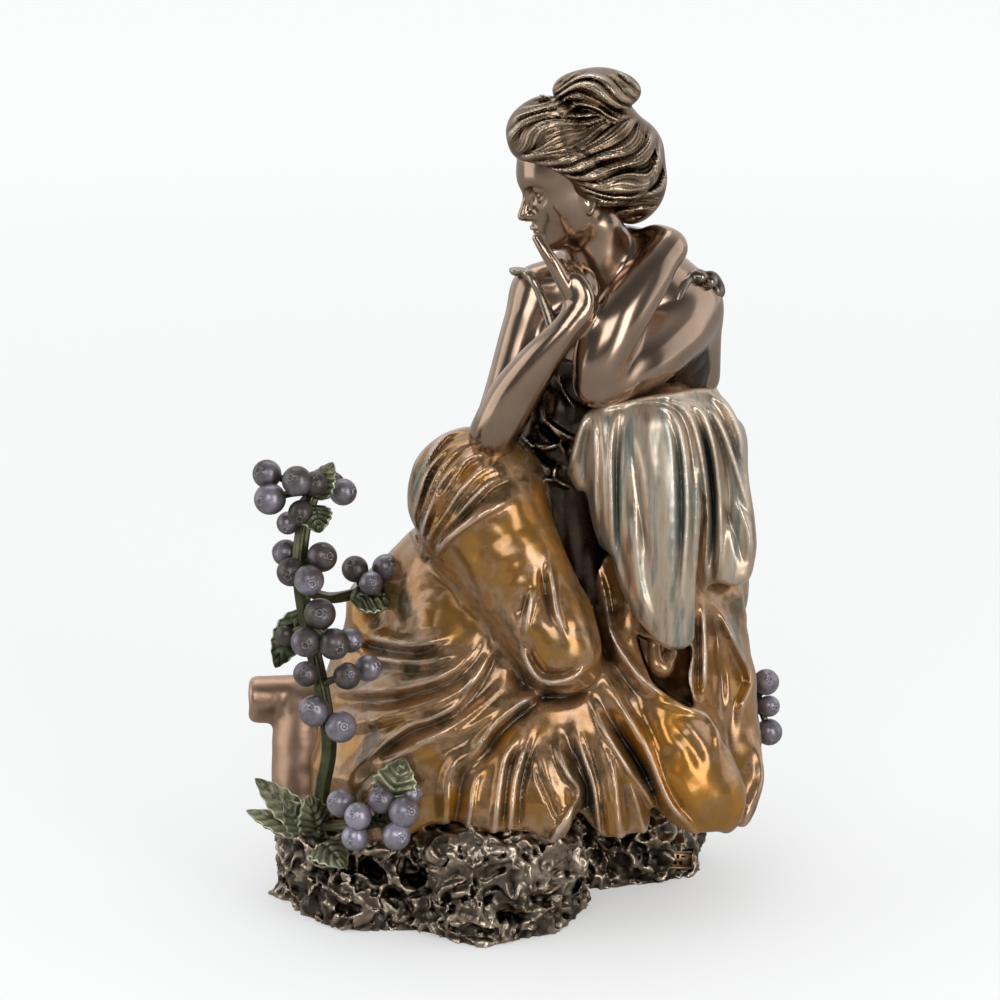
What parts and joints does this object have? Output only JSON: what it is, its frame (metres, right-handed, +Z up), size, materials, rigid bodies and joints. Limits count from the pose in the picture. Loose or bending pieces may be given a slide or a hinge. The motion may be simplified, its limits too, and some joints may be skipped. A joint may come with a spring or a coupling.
{
  "type": "crouching goddess figurine",
  "caption": "Small cold-cast bronze figurine of a seated, crouching goddess on a rocky base, with a berry vine at her side.",
  "frame": {"origin": "on the flat underside of the rocky base, below the middle of the figure", "axes": "+Z up, +X to the viewer's right, -Y towards the viewer who faces her knees"},
  "size_m": [0.1171, 0.0858, 0.1779],
  "materials": {
    "bronze": "satin cold-cast bronze with dark patina in the recesses",
    "gold_cloth": "glossy ochre glaze over bronze",
    "verdigris_cloth": "silvery bronze with blue-green glaze",
    "rock": "dark rough bronze with bright edges",
    "berry": "pearly lilac paint",
    "leaf": "dark green paint with pale veins"
  },
  "bodies": {
    "root": {"statue": "bronze", "berry_vine": "berry", "side_berries": "berry"}
  },
  "joints": []
}
